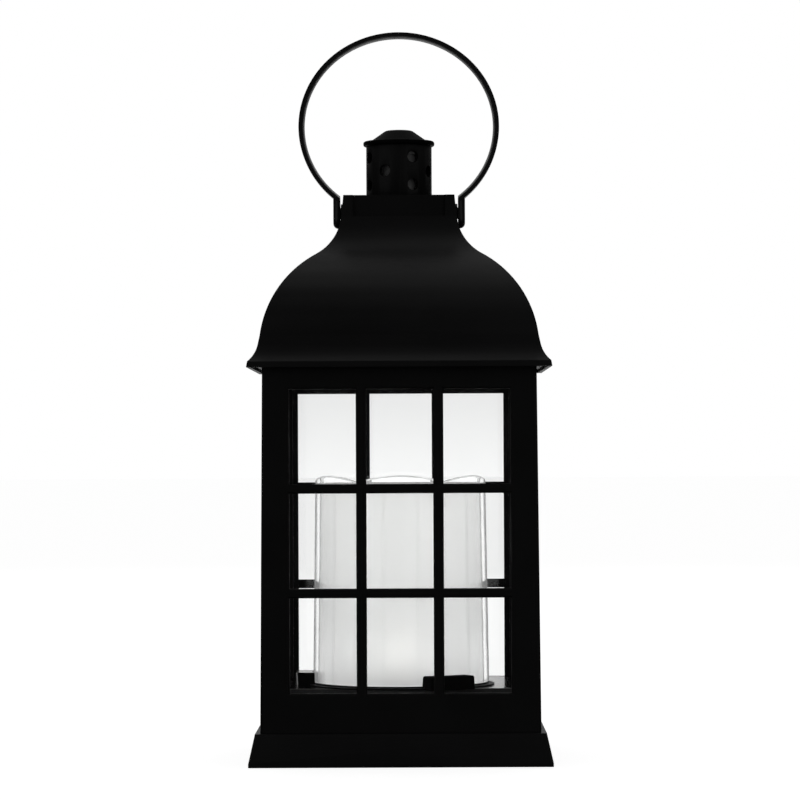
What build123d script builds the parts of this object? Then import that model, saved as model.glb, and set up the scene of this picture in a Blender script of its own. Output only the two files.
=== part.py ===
from build123d import *
from math import atan, cos, degrees, pi, radians, sin, sqrt, tan
import os

# Candle lantern: splayed plinth, four glazed panels, ogee roof, vented chimney and a ring bail.
# The origin is the middle of the base on the table. +Z is up, -Y is the front. Millimetres.

os.makedirs("parts", exist_ok=True)

# General clearances
moving_gap = 0.3
seat_gap = 0.15
running_gap = 0.06

# Plinth
plinth_foot_width = 126.0
plinth_batter = 2.7
plinth_foot_height = 1.5
plinth_height = 13.7
plinth_wall = 2.4
plinth_corner_radius = 0.8
upstand_gap = 0.3

# Window panels
body_ledge = 2.15
body_batter = 1.2
body_height = 151.5
body_corner_radius = 0.9
panel_thickness = 3.2
window_stile = 12.35
window_sill = 16.5
window_head = 9.1
lights_across = 3
lights_up = 3
glazing_bar = 3.9
glazing_mullion = 4.3
light_bevel = 0.6

# Panes
pane_thickness = 1.0
pane_margin = 2.4

# Roof
eave_overhang = 6.25
eave_edge = 2.4
eave_draft = 0.4
eave_lip = 1.7
soffit_wall = 1.6
soffit_depth = 1.6
flare_inset = 4.6
flare_rise = 9.4
shoulder_inset = 0.825
shoulder_rise = 13.25
bend_spread = 10.45
bend_rise = 48.35
neck_foot_width = 48.9
neck_foot_rise = 64.9
neck_batter = 0.88
neck_height = 9.0
roof_wall = 2.2
roof_overlap = 4.5
roof_rib_thickness = 1.8
roof_rib_depth = 4.6
roof_rib_height = 8.5
roof_rib_spacing = 60.0
neck_wall = 3.8
neck_post_width = 4.85
neck_recess_depth = 2.0

# Chimney
chimney_diameter = 28.2
chimney_height = 22.4
chimney_wall = 2.0
spigot_step = 0.9
spigot_length = 3.4
vent_diameter = 5.0
vent_faces = 4
vent_spread = 25.7
vent_rise = 5.95
cap_overhang = 1.2
cap_rim = 2.2
cap_rim_radius = 0.85
cap_brim = 3.0
cap_dome_height = 4.7
cap_crown_inset = 6.7
cap_crown_radius = 3.0
cap_gate_radius = 0.8
cap_gate_rise = 0.35
cap_plug = 4.0
cap_plug_wall = 1.5
cap_baffle_inset = 1.4
cap_baffle_end_gap = 1.6

# Bail
bail_width = 8.0
bail_strip = 1.65
bail_swell = 0.95
bail_tab_thickness = 3.0
bail_half_height = 40.6
bail_centre_rise = 30.8
bail_knee_rise = 0.2
bail_tab_length = 13.1
bail_tab_edge = 2.2
pivot_drop = 6.3
pivot_boss_rise = 0.6
pivot_boss_skirt = 6.5
stud_radius = 2.5
stud_head_radius = 3.3
stud_head_length = 1.2

# Candle
candle_foot_radius = 37.8
candle_batter = 1.2
candle_wall = 2.0
candle_foot_height = 1.4
candle_crest_height = 89.7
lip_wave = 2.6
lip_lobes = 6
flange_lip = 2.2
flange_height = 0.7
diffuser_wall = 1.0
diffuser_gap = 0.4
diffuser_below_lip = 1.4
diffuser_dish = 5.0

# Candle clips on the deck
clip_count = 3
clip_first_angle = 29.7
clip_wall = 5.0
clip_height = 5.8
clip_foot_span = 27.3
clip_top_span = 26.3
clip_corner_radius = 1.0

# Lamp in the candle
lamp_foot_radius = 16.0
lamp_foot_height = 2.0
lamp_post_radius = 4.5
lamp_post_height = 6.0
lamp_bore_radius = 2.6
bulb_radius = 2.5
bulb_flange_radius = 2.9
bulb_flange_height = 1.0
bulb_body_height = 5.4

# Bottom cover
cover_recess = 1.5
boss_radius = 4.0
boss_inset = 7.05
screw_shank_radius = 1.4
screw_head_radius = 2.9
screw_head_slope = 45.0
screw_length = 12.0
screw_slot_width = 0.8
screw_slot_depth = 0.7

# Battery compartment
cell_count = 3
cell_diameter = 14.2
cell_can_length = 49.3
cell_nub_length = 1.0
cell_nub_radius = 2.6
cell_spacing_gap = 0.5
contact_depth = 2.0
contact_plate = 0.4
contact_height = 11.0
contact_bump_radius = 2.2
box_wall = 1.6
box_centre_y = 5.0

# Battery door
door_thickness = 2.4
door_lap = 1.0
hinge_gap = 0.5
hinge_pin_radius = 0.6
hinge_pin_length = 2.2
notch_radius = 7.0
notch_depth = 1.2

# Switch and control board
knob_length = 3.0
knob_width = 2.4
knob_travel = 2.0
knob_reach = 0.8
knob_stem = 5.2
knob_rib = 0.5
switch_wall = 1.1
switch_height = 3.4
board_length = 32.0
board_width = 16.0
board_thickness = 1.6
board_inset = 15.05
post_radius = 2.4
post_spacing = 24.0
post_pin_radius = 0.9

# Leads from the board to the lamp
wire_radius = 0.6
wire_spacing = 3.2
wire_pad_inset = 2.5
wire_bend_radius = 4.0

# Plinth and panel places that follow from the sizes above. The deck is flush with the window sills.
deck_z = plinth_height + window_sill
deck_under_z = deck_z - plinth_wall
ledge_under_z = plinth_height - plinth_wall
plinth_slope = plinth_batter / (plinth_height - plinth_foot_height)
plinth_splay = degrees(atan(plinth_slope))
body_foot_width = plinth_foot_width - 2 * (plinth_batter + body_ledge)
body_eave_width = body_foot_width - 2 * body_batter
body_lean = body_batter / body_height
body_draft = degrees(atan(body_lean))
upstand_width = body_foot_width - 2 * (panel_thickness + upstand_gap)
inner_upstand_width = upstand_width - 2 * plinth_wall
boss_spacing = inner_upstand_width - 2 * boss_inset
eave_z = plinth_height + body_height
panel_height = body_height + roof_overlap
panel_top_z = plinth_height + panel_height
window_width = body_foot_width - 2 * window_stile
window_height = body_height - window_sill - window_head
window_middle_z = plinth_height + window_sill + window_height / 2
light_width = (window_width - (lights_across - 1) * glazing_mullion) / lights_across
light_height = (window_height - (lights_up - 1) * glazing_bar) / lights_up

# Roof, chimney and candle places that follow from the sizes above
soffit_width = body_eave_width + 2 * seat_gap
soffit_outer_width = soffit_width + 2 * soffit_wall
eave_width = body_eave_width + 2 * eave_overhang
flare_width = eave_width - 2 * flare_inset
shoulder_width = flare_width - 2 * shoulder_inset
bend_width = neck_foot_width + 2 * bend_spread
neck_top_width = neck_foot_width - 2 * neck_batter
neck_foot_z = eave_z + neck_foot_rise
neck_top_z = neck_foot_z + neck_height
neck_void_width = neck_foot_width - 2 * neck_wall
neck_recess_width = neck_foot_width - 2 * neck_post_width
chimney_radius = chimney_diameter / 2
spigot_radius = chimney_radius - spigot_step
chimney_top_z = neck_top_z + chimney_height
pivot_z = neck_top_z - pivot_drop
candle_lip_radius = candle_foot_radius - candle_batter
flange_radius = candle_foot_radius + flange_lip

# Plinth clips: a grooved ring on the deck, cut down to short blocks with rounded top corners.
# The groove takes the candle's flange.
clip_inner_radius = candle_foot_radius + seat_gap + moving_gap
groove_radius = flange_radius + moving_gap
groove_height = flange_height + moving_gap
clip_outer_radius = groove_radius + clip_wall

with BuildPart() as clip_sectors:
    for index in range(clip_count):
        bearing = radians(clip_first_angle + index * 360 / clip_count - 90)
        outward = Vector(cos(bearing), sin(bearing), 0)
        across = Vector(-sin(bearing), cos(bearing), 0)
        foot_half = clip_outer_radius * sin(radians(clip_foot_span / 2))
        top_half = clip_outer_radius * sin(radians(clip_top_span / 2))
        sector_start = outward * (clip_inner_radius / 2) + Vector(0, 0, deck_z)
        with BuildSketch(Plane(origin=sector_start, x_dir=across, z_dir=outward)):
            with BuildLine():
                FilletPolyline(
                    (-foot_half, 0),
                    (-top_half, clip_height),
                    (top_half, clip_height),
                    (foot_half, 0),
                    radius=clip_corner_radius,
                )
                Line((foot_half, 0), (-foot_half, 0))
            make_face()
        extrude(amount=clip_outer_radius)

with BuildPart() as clips:
    with BuildSketch(Plane.XZ):
        with BuildLine():
            Polyline(
                (groove_radius, deck_z),
                (clip_outer_radius, deck_z),
                (clip_outer_radius, deck_z + clip_height),
                (clip_inner_radius, deck_z + clip_height),
                (clip_inner_radius, deck_z + groove_height),
                (groove_radius, deck_z + groove_height),
                close=True,
            )
        make_face()
    revolve(axis=Axis.Z)
    add(clip_sectors.part, mode=Mode.INTERSECT)

# Plinth: a splayed skirt, a ledge that the panels stand on, an upstand inside them and the deck,
# in one moulding.
cover_thickness = door_thickness + moving_gap
cover_top_z = cover_recess + cover_thickness

with BuildPart() as plinth:
    with BuildSketch():
        Rectangle(plinth_foot_width, plinth_foot_width)
    extrude(amount=plinth_foot_height)
    with BuildSketch(Plane.XY.offset(plinth_foot_height)):
        Rectangle(plinth_foot_width, plinth_foot_width)
    extrude(amount=plinth_height - plinth_foot_height, taper=plinth_splay)
    corners = plinth.edges().filter_by(lambda edge: abs(edge.tangent_at(0.5).Z) > 0.5)
    fillet(corners, radius=plinth_corner_radius)
    with BuildSketch(Plane.XY.offset(plinth_height)):
        Rectangle(upstand_width, upstand_width)
    extrude(amount=window_sill)
    inner_foot_width = plinth_foot_width - 2 * plinth_wall
    with BuildSketch():
        Rectangle(inner_foot_width, inner_foot_width)
    extrude(amount=plinth_foot_height, mode=Mode.SUBTRACT)
    with BuildSketch(Plane.XY.offset(plinth_foot_height)):
        Rectangle(inner_foot_width, inner_foot_width)
    extrude(amount=ledge_under_z - plinth_foot_height, taper=plinth_splay, mode=Mode.SUBTRACT)
    with BuildSketch(Plane.XY.offset(ledge_under_z)):
        Rectangle(inner_upstand_width, inner_upstand_width)
    extrude(amount=deck_under_z - ledge_under_z, mode=Mode.SUBTRACT)
    with BuildSketch(Plane.XY.offset(cover_top_z)):
        with GridLocations(boss_spacing, boss_spacing, 2, 2):
            Circle(boss_radius)
    extrude(amount=deck_z - plinth_wall / 2 - cover_top_z)
    with BuildSketch(Plane.XY.offset(cover_top_z)):
        with GridLocations(boss_spacing, boss_spacing, 2, 2):
            Circle(screw_shank_radius + running_gap)
    extrude(amount=screw_length, mode=Mode.SUBTRACT)
    with BuildSketch(Plane.XY.offset(deck_under_z)):
        Circle(wire_spacing / 2 + wire_radius + moving_gap)
    extrude(amount=plinth_wall, mode=Mode.SUBTRACT)
    add(clips.part)

plinth.part.label = "plinth"
export_step(plinth.part, "parts/plinth.step")

# Battery compartment sizes
cell_length = cell_can_length + cell_nub_length
cell_pitch = cell_diameter + cell_spacing_gap
well_length = cell_length + 2 * contact_depth
well_width = cell_count * cell_pitch + cell_spacing_gap
opening_length = well_length + 2 * door_lap
opening_width = well_width + 2 * door_lap
door_top_z = cover_recess + door_thickness
cell_z = door_top_z + moving_gap + cell_diameter / 2
well_top_z = cell_z + cell_diameter / 2 + moving_gap
hinge_z = cover_recess + door_thickness / 2
hinge_x = -opening_length / 2 + hinge_gap + door_thickness / 2
door_side_y = opening_width / 2 - moving_gap
slot_length = knob_length + 2 * (knob_travel + moving_gap)
slot_width = knob_width + 2 * moving_gap
board_y = board_inset - inner_upstand_width / 2
board_z = cover_top_z + moving_gap + switch_height

# Bottom cover: a plate inside the skirt with an opening for the battery door, a switch slot
# and two board posts.
cover_fall = (cover_top_z - plinth_foot_height) * plinth_slope
cover_width = plinth_foot_width - 2 * (plinth_wall + cover_fall + moving_gap)

with BuildPart() as bottom_cover:
    with BuildSketch(Plane.XY.offset(cover_recess)):
        Rectangle(cover_width, cover_width)
        with Locations((0, box_centre_y)):
            Rectangle(opening_length, opening_width, mode=Mode.SUBTRACT)
        with Locations((0, board_y)):
            Rectangle(slot_length, slot_width, mode=Mode.SUBTRACT)
    extrude(amount=cover_thickness)
    with BuildSketch(Plane.XY.offset(cover_recess)):
        with Locations((opening_length / 2, box_centre_y)):
            Circle(notch_radius)
    extrude(amount=notch_depth, mode=Mode.SUBTRACT)
    with Locations(Plane(origin=(0, 0, cover_recess), x_dir=(1, 0, 0), z_dir=(0, 0, -1))):
        with GridLocations(boss_spacing, boss_spacing, 2, 2):
            CounterSinkHole(
                radius=screw_shank_radius + seat_gap,
                counter_sink_radius=screw_head_radius + seat_gap,
                depth=cover_thickness,
                counter_sink_angle=2 * screw_head_slope,
            )
    hinge_hole_length = opening_width + 2 * (hinge_pin_length + seat_gap)
    with BuildSketch(Plane.XZ.offset(-box_centre_y)):
        with Locations((hinge_x, hinge_z)):
            Circle(hinge_pin_radius + running_gap)
    extrude(amount=hinge_hole_length / 2, both=True, mode=Mode.SUBTRACT)
    with BuildSketch(Plane.XY.offset(cover_top_z)):
        with Locations((-post_spacing / 2, board_y), (post_spacing / 2, board_y)):
            Circle(post_radius)
    extrude(amount=board_z - cover_top_z)
    with BuildSketch(Plane.XY.offset(board_z)):
        with Locations((-post_spacing / 2, board_y), (post_spacing / 2, board_y)):
            Circle(post_pin_radius)
    extrude(amount=board_thickness)

bottom_cover.part.label = "bottom_cover"
export_step(bottom_cover.part, "parts/bottom_cover.step")

# Cover screws: countersunk self-tapping screws with a cross recess, from below through the cover
# into the bosses.
screw_head_height = (screw_head_radius - screw_shank_radius) / tan(radians(screw_head_slope))

with BuildPart() as cover_screws:
    with BuildSketch(Plane.XY.offset(cover_recess)):
        with GridLocations(boss_spacing, boss_spacing, 2, 2):
            Circle(screw_shank_radius)
    extrude(amount=screw_length)
    with BuildSketch(Plane.XY.offset(cover_recess)):
        with GridLocations(boss_spacing, boss_spacing, 2, 2):
            Circle(screw_head_radius)
    extrude(amount=screw_head_height, taper=screw_head_slope)
    with BuildSketch(Plane.XY.offset(cover_recess)):
        with GridLocations(boss_spacing, boss_spacing, 2, 2):
            Rectangle(screw_head_radius, screw_slot_width)
            Rectangle(screw_slot_width, screw_head_radius)
    extrude(amount=screw_slot_depth, mode=Mode.SUBTRACT)

cover_screws.part.label = "cover_screws"
export_step(cover_screws.part, "parts/cover_screws.step")

# Battery box: a five-sided well, open downwards, welded to the top of the cover around its opening.
with BuildPart() as battery_box:
    with BuildSketch(Plane.XY.offset(cover_top_z)):
        with Locations((0, box_centre_y)):
            Rectangle(well_length + 2 * box_wall, well_width + 2 * box_wall)
    extrude(amount=well_top_z + box_wall - cover_top_z)
    with BuildSketch(Plane.XY.offset(cover_top_z)):
        with Locations((0, box_centre_y)):
            Rectangle(well_length, well_width)
    extrude(amount=well_top_z - cover_top_z, mode=Mode.SUBTRACT)

battery_box.part.label = "battery_box"
export_step(battery_box.part, "parts/battery_box.step")

# Battery cells: three AA cells side by side, turned end for end so that they are wired in series.
with BuildPart() as battery_cells:
    for index in range(cell_count):
        cell_y = box_centre_y + (index - (cell_count - 1) / 2) * cell_pitch
        facing = 1 if index % 2 == 0 else -1
        can_end = (-facing * cell_length / 2, cell_y, cell_z)
        nub_end = (facing * cell_length / 2, cell_y, cell_z)
        with BuildSketch(Plane(origin=can_end, z_dir=(facing, 0, 0))):
            Circle(cell_diameter / 2)
        extrude(amount=cell_can_length)
        with BuildSketch(Plane(origin=nub_end, z_dir=(-facing, 0, 0))):
            Circle(cell_nub_radius)
        extrude(amount=cell_nub_length)

battery_cells.part.label = "battery_cells"
export_step(battery_cells.part, "parts/battery_cells.step")

# Battery contacts: at each end of the well one single plate and one that bridges two cells,
# each with a raised bump.
contact_x = well_length / 2
bump_length = contact_depth - contact_plate - moving_gap
single_width = cell_pitch - 2 * cell_spacing_gap
bridge_width = single_width + cell_pitch
outer_row = (cell_count - 1) / 2 * cell_pitch

with BuildPart() as battery_contacts:
    for end in (-1, 1):
        well_end = (end * contact_x, box_centre_y, cell_z)
        inward = Plane(origin=well_end, x_dir=(0, 1, 0), z_dir=(-end, 0, 0))
        with BuildSketch(inward):
            with Locations((-end * outer_row, 0)):
                Rectangle(single_width, contact_height)
            with Locations((end * outer_row / 2, 0)):
                Rectangle(bridge_width, contact_height)
        extrude(amount=contact_plate)
        with BuildSketch(inward.offset(contact_plate)):
            with GridLocations(cell_pitch, 0, cell_count, 1):
                Circle(contact_bump_radius)
        extrude(amount=bump_length)

battery_contacts.part.label = "battery_contacts"
export_step(battery_contacts.part, "parts/battery_contacts.step")

# Battery door: a plate with a full-round hinge edge and two stub pins, which swings down out of the cover.
door_end_x = opening_length / 2 - moving_gap

with BuildPart() as battery_door:
    with BuildSketch(Plane.XZ.offset(-box_centre_y)):
        with Locations((hinge_x, hinge_z)):
            Rectangle(door_end_x - hinge_x, door_thickness, align=(Align.MIN, Align.CENTER))
            Circle(door_thickness / 2)
    extrude(amount=door_side_y, both=True)
    with BuildSketch(Plane.XZ.offset(-box_centre_y)):
        with Locations((hinge_x, hinge_z)):
            Circle(hinge_pin_radius)
    extrude(amount=opening_width / 2 + hinge_pin_length, both=True)

battery_door.part.label = "battery_door"
export_step(battery_door.part, "parts/battery_door.step")

# Control board: a small circuit board on the two posts of the cover, held by their pins.
with BuildPart() as control_board:
    with BuildSketch(Plane.XY.offset(board_z)):
        with Locations((0, board_y)):
            Rectangle(board_length, board_width)
        with Locations((-post_spacing / 2, board_y), (post_spacing / 2, board_y)):
            Circle(post_pin_radius + seat_gap, mode=Mode.SUBTRACT)
    extrude(amount=board_thickness)

control_board.part.label = "control_board"
export_step(control_board.part, "parts/control_board.step")

# Switch body: the housing of the slide switch under the board, open below for the knob's stem.
stem_top_z = cover_recess - knob_reach + knob_stem

with BuildPart() as switch_body:
    with BuildSketch(Plane.XY.offset(cover_top_z + moving_gap)):
        with Locations((0, board_y)):
            Rectangle(slot_length + 2 * switch_wall, slot_width + 2 * switch_wall)
    extrude(amount=switch_height)
    with BuildSketch(Plane.XY.offset(cover_top_z + moving_gap)):
        with Locations((0, board_y)):
            Rectangle(slot_length, slot_width)
    extrude(amount=stem_top_z - cover_top_z, mode=Mode.SUBTRACT)

switch_body.part.label = "switch_body"
export_step(switch_body.part, "parts/switch_body.step")

# Switch knob: a ribbed stem that slides along X in the cover's slot.
with BuildPart() as switch_knob:
    with BuildSketch(Plane.XY.offset(cover_recess - knob_reach)):
        with Locations((0, board_y)):
            Rectangle(knob_length, knob_width)
    extrude(amount=knob_stem)
    with BuildSketch(Plane.XY.offset(cover_recess - knob_reach)):
        with Locations((-knob_rib, board_y), (knob_rib, board_y)):
            Rectangle(knob_rib, knob_width)
    extrude(amount=knob_rib, mode=Mode.SUBTRACT)

switch_knob.part.label = "switch_knob"
export_step(switch_knob.part, "parts/switch_knob.step")

# Candle base: the black foot of the candle, a disc whose flange is held under the three clips.
candle_floor_z = deck_z + candle_foot_height

with BuildPart() as candle_base:
    with BuildSketch(Plane.XY.offset(deck_z)):
        Circle(flange_radius)
    extrude(amount=flange_height)
    with BuildSketch(Plane.XY.offset(deck_z)):
        Circle(candle_foot_radius)
    extrude(amount=candle_foot_height)
    with BuildSketch(Plane.XY.offset(deck_z)):
        Circle(wire_spacing / 2 + wire_radius + moving_gap)
    extrude(amount=candle_foot_height, mode=Mode.SUBTRACT)

candle_base.part.label = "candle_base"
export_step(candle_base.part, "parts/candle_base.step")

# Candle shell: a clear, slightly tapered wall. Its lip is a ring of broad arches, cut along
# the valleys between them.
crest_z = deck_z + candle_crest_height
arch_half = candle_foot_radius * sin(pi / lip_lobes)
arch_radius = (arch_half**2 + lip_wave**2) / (2 * lip_wave)

with BuildPart() as candle_shell:
    with BuildSketch(Plane.XZ):
        with BuildLine():
            Polyline(
                (candle_foot_radius - candle_wall, candle_floor_z),
                (candle_foot_radius, candle_floor_z),
                (candle_lip_radius, crest_z),
                (candle_lip_radius - candle_wall, crest_z),
                close=True,
            )
        make_face()
    revolve(axis=Axis.Z)
    for index in range(lip_lobes):
        bearing = pi * (2 * index + 1) / lip_lobes - pi / 2
        outward = Vector(cos(bearing), sin(bearing), 0)
        across = Vector(-sin(bearing), cos(bearing), 0)
        with BuildSketch(Plane(origin=(0, 0, crest_z), x_dir=across, z_dir=outward)):
            with BuildLine():
                RadiusArc((-arch_half, 0), (0, -lip_wave), arch_radius)
                RadiusArc((0, -lip_wave), (arch_half, 0), arch_radius)
                Polyline((arch_half, 0), (arch_half, lip_wave), (-arch_half, lip_wave), (-arch_half, 0))
            make_face()
        extrude(amount=2 * candle_foot_radius, mode=Mode.SUBTRACT)

candle_shell.part.label = "candle_shell"
export_step(candle_shell.part, "parts/candle_shell.step")

# Candle diffuser: a frosted liner just inside the shell, with a dished top like a melted pool.
diffuser_top_z = crest_z - lip_wave - diffuser_below_lip
shell_slope = (candle_foot_radius - candle_lip_radius) / (crest_z - candle_floor_z)
diffuser_foot_radius = candle_foot_radius - candle_wall - diffuser_gap
diffuser_top_radius = diffuser_foot_radius - shell_slope * (diffuser_top_z - candle_floor_z)
dish_radius = diffuser_top_radius - diffuser_wall
pool_z = diffuser_top_z - diffuser_dish
pool_radius = (dish_radius**2 + diffuser_dish**2) / (2 * diffuser_dish)

with BuildPart() as candle_diffuser:
    with BuildSketch(Plane.XZ):
        with BuildLine():
            RadiusArc((dish_radius, diffuser_top_z), (0, pool_z), pool_radius)
            Line((0, pool_z), (0, pool_z - diffuser_wall))
            RadiusArc(
                (0, pool_z - diffuser_wall),
                (dish_radius, diffuser_top_z - diffuser_wall),
                -pool_radius,
            )
            Polyline(
                (dish_radius, diffuser_top_z - diffuser_wall),
                (diffuser_foot_radius - diffuser_wall, candle_floor_z),
                (diffuser_foot_radius, candle_floor_z),
                (diffuser_top_radius, diffuser_top_z),
                (dish_radius, diffuser_top_z),
            )
        make_face()
    revolve(axis=Axis.Z)

candle_diffuser.part.label = "candle_diffuser"
export_step(candle_diffuser.part, "parts/candle_diffuser.step")

# Lamp holder: a white pedestal on the candle's floor, bored for the leads and seated for the bulb.
lamp_top_z = candle_floor_z + lamp_foot_height + lamp_post_height

with BuildPart() as led_holder:
    with BuildSketch(Plane.XY.offset(candle_floor_z)):
        Circle(lamp_foot_radius)
    extrude(amount=lamp_foot_height)
    with BuildSketch(Plane.XY.offset(candle_floor_z)):
        Circle(lamp_post_radius)
    extrude(amount=lamp_foot_height + lamp_post_height)
    with BuildSketch(Plane.XY.offset(candle_floor_z)):
        Circle(lamp_bore_radius)
    extrude(amount=lamp_foot_height + lamp_post_height, mode=Mode.SUBTRACT)

led_holder.part.label = "led_holder"
export_step(led_holder.part, "parts/led_holder.step")

# Bulb: a round-nosed LED on the pedestal.
with BuildPart() as led_bulb:
    with BuildSketch(Plane.XY.offset(lamp_top_z)):
        Circle(bulb_flange_radius)
    extrude(amount=bulb_flange_height)
    with BuildSketch(Plane.XY.offset(lamp_top_z)):
        Circle(bulb_radius)
    extrude(amount=bulb_flange_height + bulb_body_height)
    with BuildSketch(Plane.XZ):
        with Locations((0, lamp_top_z + bulb_flange_height + bulb_body_height)):
            Circle(bulb_radius)
            Rectangle(bulb_radius, 2 * bulb_radius, align=(Align.MAX, Align.CENTER), mode=Mode.SUBTRACT)
    revolve(axis=Axis.Z)

led_bulb.part.label = "led_bulb"
export_step(led_bulb.part, "parts/led_bulb.step")

# Lamp leads: two wires from the board, over the battery box and up through the deck to the bulb.
wire_start_y = board_y + board_width / 2 - wire_pad_inset
wire_level_z = (well_top_z + box_wall + deck_under_z) / 2

with BuildPart() as led_wires:
    for side in (-1, 1):
        wire_x = side * wire_spacing / 2
        with BuildLine():
            FilletPolyline(
                (wire_x, wire_start_y, board_z + board_thickness),
                (wire_x, wire_start_y, wire_level_z),
                (wire_x, 0, wire_level_z),
                (wire_x, 0, lamp_top_z),
                radius=wire_bend_radius,
            )
        with BuildSketch(Plane(origin=(wire_x, wire_start_y, board_z + board_thickness))):
            Circle(wire_radius)
        sweep()

led_wires.part.label = "led_wires"
export_step(led_wires.part, "parts/led_wires.step")

# Window panel: one quarter of a tapered square tube, mitred at the corners, with nine lights
# and a pane rebate.
wall_inner_y = -(body_foot_width / 2 - panel_thickness)
inner_face = Plane(
    origin=(0, wall_inner_y, plinth_height),
    x_dir=(1, 0, 0),
    z_dir=(0, -1, body_lean),
)
rebate_width = window_width + 2 * pane_margin
rebate_height = window_height + 2 * pane_margin
rebate_depth = pane_thickness + seat_gap
pane_middle = (window_middle_z - plinth_height) / cos(radians(body_draft))

with BuildPart() as window_panel:
    with BuildSketch(Plane.XY.offset(plinth_height)):
        Rectangle(body_foot_width, body_foot_width)
    extrude(amount=panel_height, taper=body_draft)
    corners = window_panel.edges().filter_by(lambda edge: abs(edge.tangent_at(0.5).Z) > 0.5)
    fillet(corners, radius=body_corner_radius)
    with BuildSketch(Plane.XY.offset(plinth_height)):
        Rectangle(body_foot_width - 2 * panel_thickness, body_foot_width - 2 * panel_thickness)
    extrude(amount=panel_height, taper=body_draft, mode=Mode.SUBTRACT)
    with BuildSketch(Plane.XY.offset(plinth_height)):
        with BuildLine():
            Polyline(
                (0, 0),
                (-body_foot_width, -body_foot_width),
                (body_foot_width, -body_foot_width),
                close=True,
            )
        make_face()
    extrude(amount=panel_height, mode=Mode.INTERSECT)
    column_pitch = light_width + glazing_mullion
    row_pitch = light_height + glazing_bar
    with BuildSketch(Plane.XZ):
        with Locations((0, window_middle_z)):
            with GridLocations(column_pitch, row_pitch, lights_across, lights_up):
                Rectangle(light_width, light_height)
    extrude(amount=body_foot_width, mode=Mode.SUBTRACT)
    outer_face = window_panel.faces().sort_by(Axis.Y)[0]
    chamfer(outer_face.inner_wires().edges(), length=light_bevel)
    with BuildSketch(inner_face):
        with Locations((0, pane_middle)):
            Rectangle(rebate_width, rebate_height)
    extrude(amount=rebate_depth, mode=Mode.SUBTRACT)

# Pane: a clear sheet that lies in the rebate against the back of the glazing bars.
with BuildPart() as window_pane:
    with BuildSketch(inner_face.offset(seat_gap)):
        with Locations((0, pane_middle)):
            Rectangle(rebate_width - 2 * seat_gap, rebate_height - 2 * seat_gap)
    extrude(amount=pane_thickness)

sides = ("front", "right", "rear", "left")
for index, side in enumerate(sides):
    panel = window_panel.part.rotate(Axis.Z, index * 90)
    panel.label = f"{side}_panel"
    export_step(panel, f"parts/{side}_panel.step")
    pane = window_pane.part.rotate(Axis.Z, index * 90)
    pane.label = f"{side}_pane"
    export_step(pane, f"parts/{side}_pane.step")

# Roof outline: the ogee from the middle of the soffit out to the eave and up to the top of the neck,
# with its mirror image.
eave_half = eave_width / 2
rim_half = eave_half - eave_draft

with BuildSketch() as roof_outline:
    with BuildLine():
        Polyline((0, eave_z), (eave_half, eave_z), (rim_half, eave_z + eave_edge))
        neck = Line((neck_top_width / 2, neck_top_z), (neck_foot_width / 2, neck_foot_z))
        hollow = TangentArc(neck @ 1, (bend_width / 2, eave_z + bend_rise), tangent=neck % 1)
        crown = TangentArc(hollow @ 1, (shoulder_width / 2, eave_z + shoulder_rise), tangent=hollow % 1)
        skirt = Line(crown @ 1, (flare_width / 2, eave_z + flare_rise))
        TangentArc(skirt @ 1, (rim_half, eave_z + eave_edge), tangent=skirt % 1)
        Line((0, neck_top_z), (neck_top_width / 2, neck_top_z))
        mirror(about=Plane.YZ)
    make_face()

# Roof hollow: the outline drawn in by the wall, no wider than the soffit's opening and narrower
# in the neck.
with BuildSketch() as hollow_outline:
    add(roof_outline.sketch_local)
    offset(amount=-roof_wall, mode=Mode.REPLACE)
    with Locations((0, eave_z)):
        Rectangle(soffit_width, 2 * (neck_top_z - eave_z), mode=Mode.INTERSECT)
    with Locations((0, eave_z)):
        Rectangle(soffit_width, roof_wall + eave_edge, align=(Align.CENTER, Align.MIN))
    for side in (-1, 1):
        with Locations((side * (neck_void_width + neck_foot_width) / 2, neck_foot_z)):
            Rectangle(neck_foot_width, neck_height, align=(Align.CENTER, Align.MIN), mode=Mode.SUBTRACT)

with BuildPart() as roof_hollow:
    with BuildSketch(Plane.XZ):
        add(hollow_outline.sketch_local)
    extrude(amount=eave_half, both=True)
    with BuildSketch(Plane.YZ):
        add(hollow_outline.sketch_local)
    extrude(amount=eave_half, both=True, mode=Mode.INTERSECT)

# Roof shell: four ogee slopes that meet on mitred hips, with a groove under the eave, and a neck
# for the chimney and the bail's pivots.
neck_void_half = neck_void_width / 2
boss_face_x = neck_foot_width / 2 + pivot_boss_rise

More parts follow.
